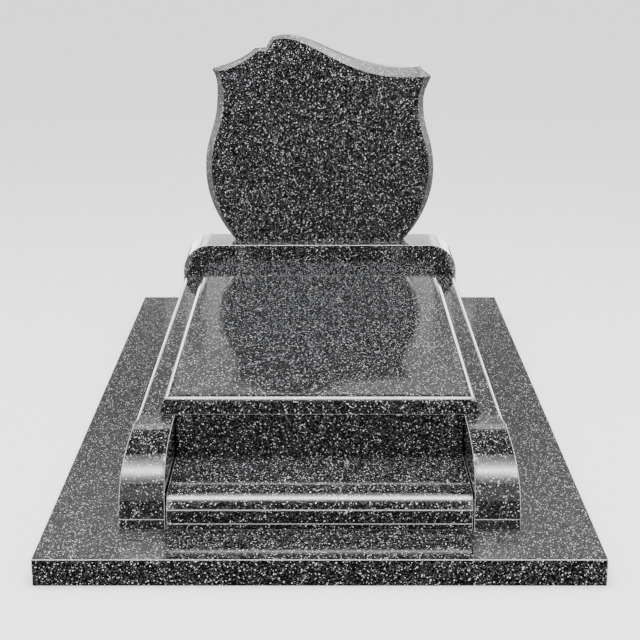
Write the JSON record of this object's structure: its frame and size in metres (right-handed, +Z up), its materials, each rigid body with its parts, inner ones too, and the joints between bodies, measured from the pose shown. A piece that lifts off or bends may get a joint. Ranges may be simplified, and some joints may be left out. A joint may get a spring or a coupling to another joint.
{
  "type": "headstone",
  "caption": "Polished dark granite grave monument: shield-shaped headstone on a plinth, moulded cover slab, scroll-ended kerbs and a low front step on a ground slab.",
  "frame": {"origin": "middle of the ground slab's underside, on the ground", "axes": "+Z up, +Y towards the head end where the headstone stands, +X to the right of someone who faces the headstone from the foot end"},
  "size_m": [1.4, 2.4, 1.135],
  "materials": {
    "granite": "polished"
  },
  "bodies": {
    "root": {"ground_slab": "granite", "kerb_strip_left": "granite", "kerb_strip_right": "granite", "kerb_left": "granite", "kerb_right": "granite", "step_strip": "granite", "step_riser": "granite", "step_tread": "granite", "front_panel": "granite", "cover_slab": "granite", "plinth": "granite", "headstone": "granite"}
  },
  "joints": []
}
